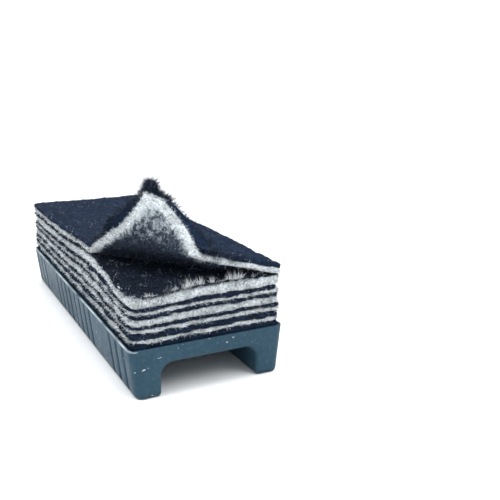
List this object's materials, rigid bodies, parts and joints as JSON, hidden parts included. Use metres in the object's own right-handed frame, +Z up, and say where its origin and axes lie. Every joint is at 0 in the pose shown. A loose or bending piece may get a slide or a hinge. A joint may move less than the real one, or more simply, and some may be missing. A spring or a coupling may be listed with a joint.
{
  "type": "chalkboard eraser",
  "caption": "Chalkboard eraser: plastic holder on two grooved rails, with a stack of two-ply felt sheets that peel off; the top sheet's corner is lifted.",
  "frame": {"origin": "centre of the holder's footprint, on the surface that the rails stand on", "axes": "+X along the length towards the end with the lifted corner, +Y across the width, +Z up from the rails to the felt"},
  "size_m": [0.127, 0.048, 0.0532],
  "materials": {
    "holder_plastic": "fine satin moulded surface, slate blue-grey",
    "black_felt": "needled felt, near black with a navy cast",
    "white_felt": "needled felt, off-white flecked with dark fibres",
    "tack_film": "thin release adhesive",
    "glue": "dried contact adhesive"
  },
  "bodies": {
    "holder": {"holder": "holder_plastic", "tray_glue": "glue", "base_felt": "black_felt"},
    "sheet_1": {"sheet_1_tack": "tack_film", "sheet_1_white": "white_felt", "sheet_1_black": "black_felt"},
    "sheet_2": {"sheet_2_tack": "tack_film", "sheet_2_white": "white_felt", "sheet_2_black": "black_felt"},
    "sheet_3": {"sheet_3_tack": "tack_film", "sheet_3_white": "white_felt", "sheet_3_black": "black_felt"},
    "sheet_4": {"sheet_4_tack": "tack_film", "sheet_4_white": "white_felt", "sheet_4_black": "black_felt"},
    "sheet_5": {"sheet_5_tack": "tack_film", "sheet_5_white": "white_felt", "sheet_5_black": "black_felt"},
    "sheet_6": {"sheet_6_tack": "tack_film", "sheet_6_white": "white_felt", "sheet_6_black": "black_felt"}
  },
  "joints": [
    {"name": "sheet_1_peel", "type": "slide", "parent": "holder", "child": "sheet_1", "axis": [0, 0, 1], "range_m": [0, 0.03]},
    {"name": "sheet_2_peel", "type": "slide", "parent": "sheet_1", "child": "sheet_2", "axis": [0, 0, 1], "range_m": [0, 0.03]},
    {"name": "sheet_3_peel", "type": "slide", "parent": "sheet_2", "child": "sheet_3", "axis": [0, 0, 1], "range_m": [0, 0.03]},
    {"name": "sheet_4_peel", "type": "slide", "parent": "sheet_3", "child": "sheet_4", "axis": [0, 0, 1], "range_m": [0, 0.03]},
    {"name": "sheet_5_peel", "type": "slide", "parent": "sheet_4", "child": "sheet_5", "axis": [0, 0, 1], "range_m": [0, 0.03]},
    {"name": "sheet_6_peel", "type": "slide", "parent": "sheet_5", "child": "sheet_6", "axis": [0, 0, 1], "range_m": [0, 0.03]}
  ]
}
